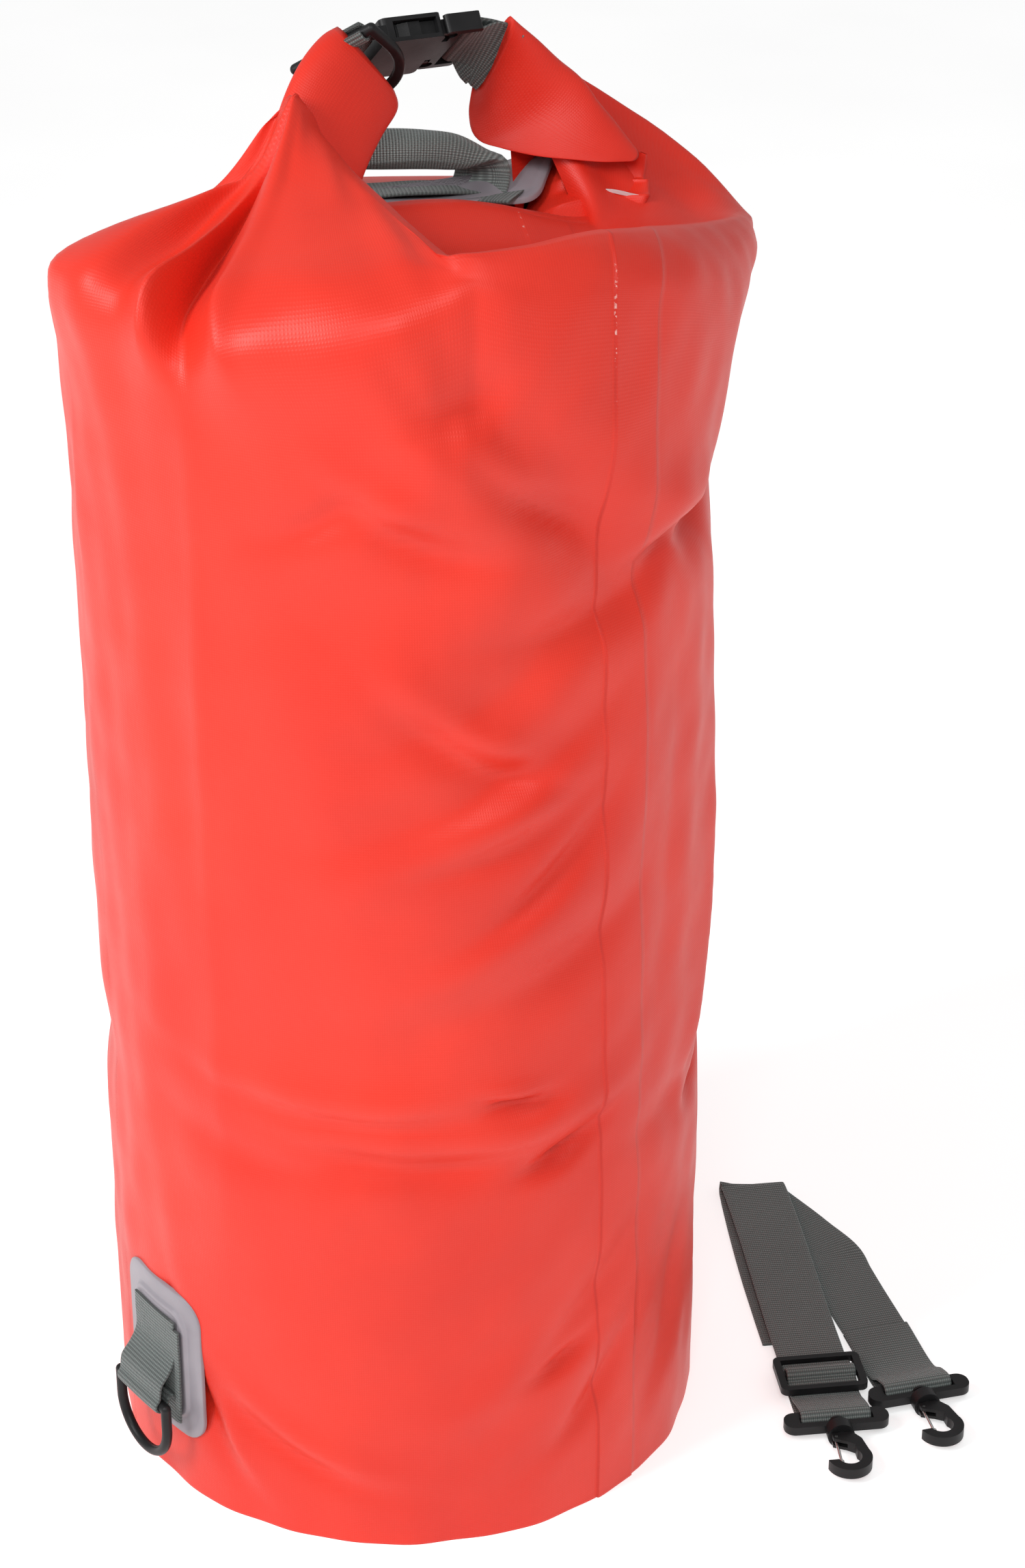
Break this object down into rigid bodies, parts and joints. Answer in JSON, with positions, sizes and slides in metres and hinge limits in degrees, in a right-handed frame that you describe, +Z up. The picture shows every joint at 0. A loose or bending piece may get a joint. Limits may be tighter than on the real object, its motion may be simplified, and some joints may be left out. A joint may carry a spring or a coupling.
{
  "type": "dry bag",
  "caption": "Tall welded roll-top dry tube with a side-release buckle closure, carry handle, D-rings and a detachable shoulder strap laid beside it.",
  "frame": {"origin": "centre of the bag's round base, on the floor", "axes": "+Z up along the bag; +X along the rolled mouth towards the shoulder strap; -Y is the front"},
  "size_m": [0.4529, 0.3532, 0.7457],
  "materials": {
    "coated_fabric": "red PVC-coated fabric, satin, with a faint scrim weave",
    "webbing": "grey ribbed polyester webbing",
    "patch": "grey welded PVC patch, matt",
    "moulding": "black moulded acetal, satin",
    "steel": "bright steel wire",
    "stiffener": "plain plastic strip, hidden in the roll"
  },
  "bodies": {
    "root": {"body_tube": "coated_fabric", "base_panel": "coated_fabric", "top_fabric": "coated_fabric", "roll_center": "coated_fabric", "mouth_stiffener": "stiffener", "roll_arm_left": "coated_fabric", "tab_left": "webbing", "buckle_socket": "moulding", "top_dring_loop": "webbing", "handle_patch": "patch", "handle_base_strip": "webbing", "handle_end_tabs": "webbing", "lower_patch": "patch", "lower_patch_panel": "patch", "lower_webbing_loop": "webbing"},
    "roll_right": {"roll_arm_right": "coated_fabric", "tab_right": "webbing", "buckle_fork": "moulding"},
    "prong_near": {"prong_near": "moulding"},
    "prong_far": {"prong_far": "moulding"},
    "top_ring": {"top_dring": "moulding"},
    "lower_ring": {"lower_dring": "moulding"},
    "handle": {"grab_handle": "webbing"},
    "strap": {"strap_webbing": "webbing", "swivel_base_1": "moulding", "swivel_base_2": "moulding"},
    "slider": {"strap_slider": "moulding", "slider_webbing_bridge": "webbing"},
    "hook_1": {"snap_hook_1": "moulding"},
    "gate_1": {"gate_wire_1": "steel"},
    "hook_2": {"snap_hook_2": "moulding"},
    "gate_2": {"gate_wire_2": "steel"}
  },
  "joints": [
    {"name": "buckle_release", "type": "slide", "parent": "root", "child": "roll_right", "axis": [1, 0, 0], "range_m": [0, 0.034]},
    {"name": "prong_near_flex", "type": "hinge", "parent": "roll_right", "child": "prong_near", "pos_m": [0.047, 0.03476, 0.73117], "axis": [0, -0.5736, -0.8192], "range_deg": [0, 23]},
    {"name": "prong_far_flex", "type": "hinge", "parent": "roll_right", "child": "prong_far", "pos_m": [0.047, 0.06524, 0.70983], "axis": [0, 0.5736, 0.8192], "range_deg": [0, 23]},
    {"name": "top_ring_swing", "type": "hinge", "parent": "root", "child": "top_ring", "pos_m": [-0.0129, 0.0327, 0.7278], "axis": [-0.609, 0.6085, -0.5088], "range_deg": [-2, 20]},
    {"name": "lower_ring_swing", "type": "hinge", "parent": "root", "child": "lower_ring", "pos_m": [-0.16433, -0.03493, 0.058], "axis": [-0.2079, 0.9781, 0], "range_deg": [-5, 120]},
    {"name": "handle_tip", "type": "hinge", "parent": "root", "child": "handle", "pos_m": [0.02048, 0.06441, 0.6565], "axis": [0.9518, -0.3067, -0.0022], "range_deg": [-50, 50]},
    {"name": "strap_lift", "type": "slide", "parent": "root", "child": "strap", "axis": [0, 0, 1], "range_m": [0, 0.3]},
    {"name": "slider_adjust", "type": "slide", "parent": "strap", "child": "slider", "axis": [0.3007, 0.9537, 0], "range_m": [0, 0.12]},
    {"name": "hook_1_swivel", "type": "hinge", "parent": "strap", "child": "hook_1", "pos_m": [0.17799, -0.16907, 0.0076], "axis": [0.3007, 0.9537, 0], "continuous": true},
    {"name": "gate_1_open", "type": "hinge", "parent": "hook_1", "child": "gate_1", "pos_m": [0.17425, -0.16895, 0.0076], "axis": [0, 0, 1], "range_deg": [0, 25], "stiffness_Nm_per_rad": 0.02},
    {"name": "hook_2_swivel", "type": "hinge", "parent": "strap", "child": "hook_2", "pos_m": [0.23353, -0.1657, 0.0076], "axis": [0.1736, 0.9848, 0], "continuous": true},
    {"name": "gate_2_open", "type": "hinge", "parent": "hook_2", "child": "gate_2", "pos_m": [0.22981, -0.16606, 0.0076], "axis": [0, 0, 1], "range_deg": [0, 25], "stiffness_Nm_per_rad": 0.02}
  ],
  "couplings": [
    {"joint": "prong_near_flex", "follows": "buckle_release", "rad_per_m": 11.636},
    {"joint": "prong_far_flex", "follows": "buckle_release", "rad_per_m": 11.636}
  ]
}
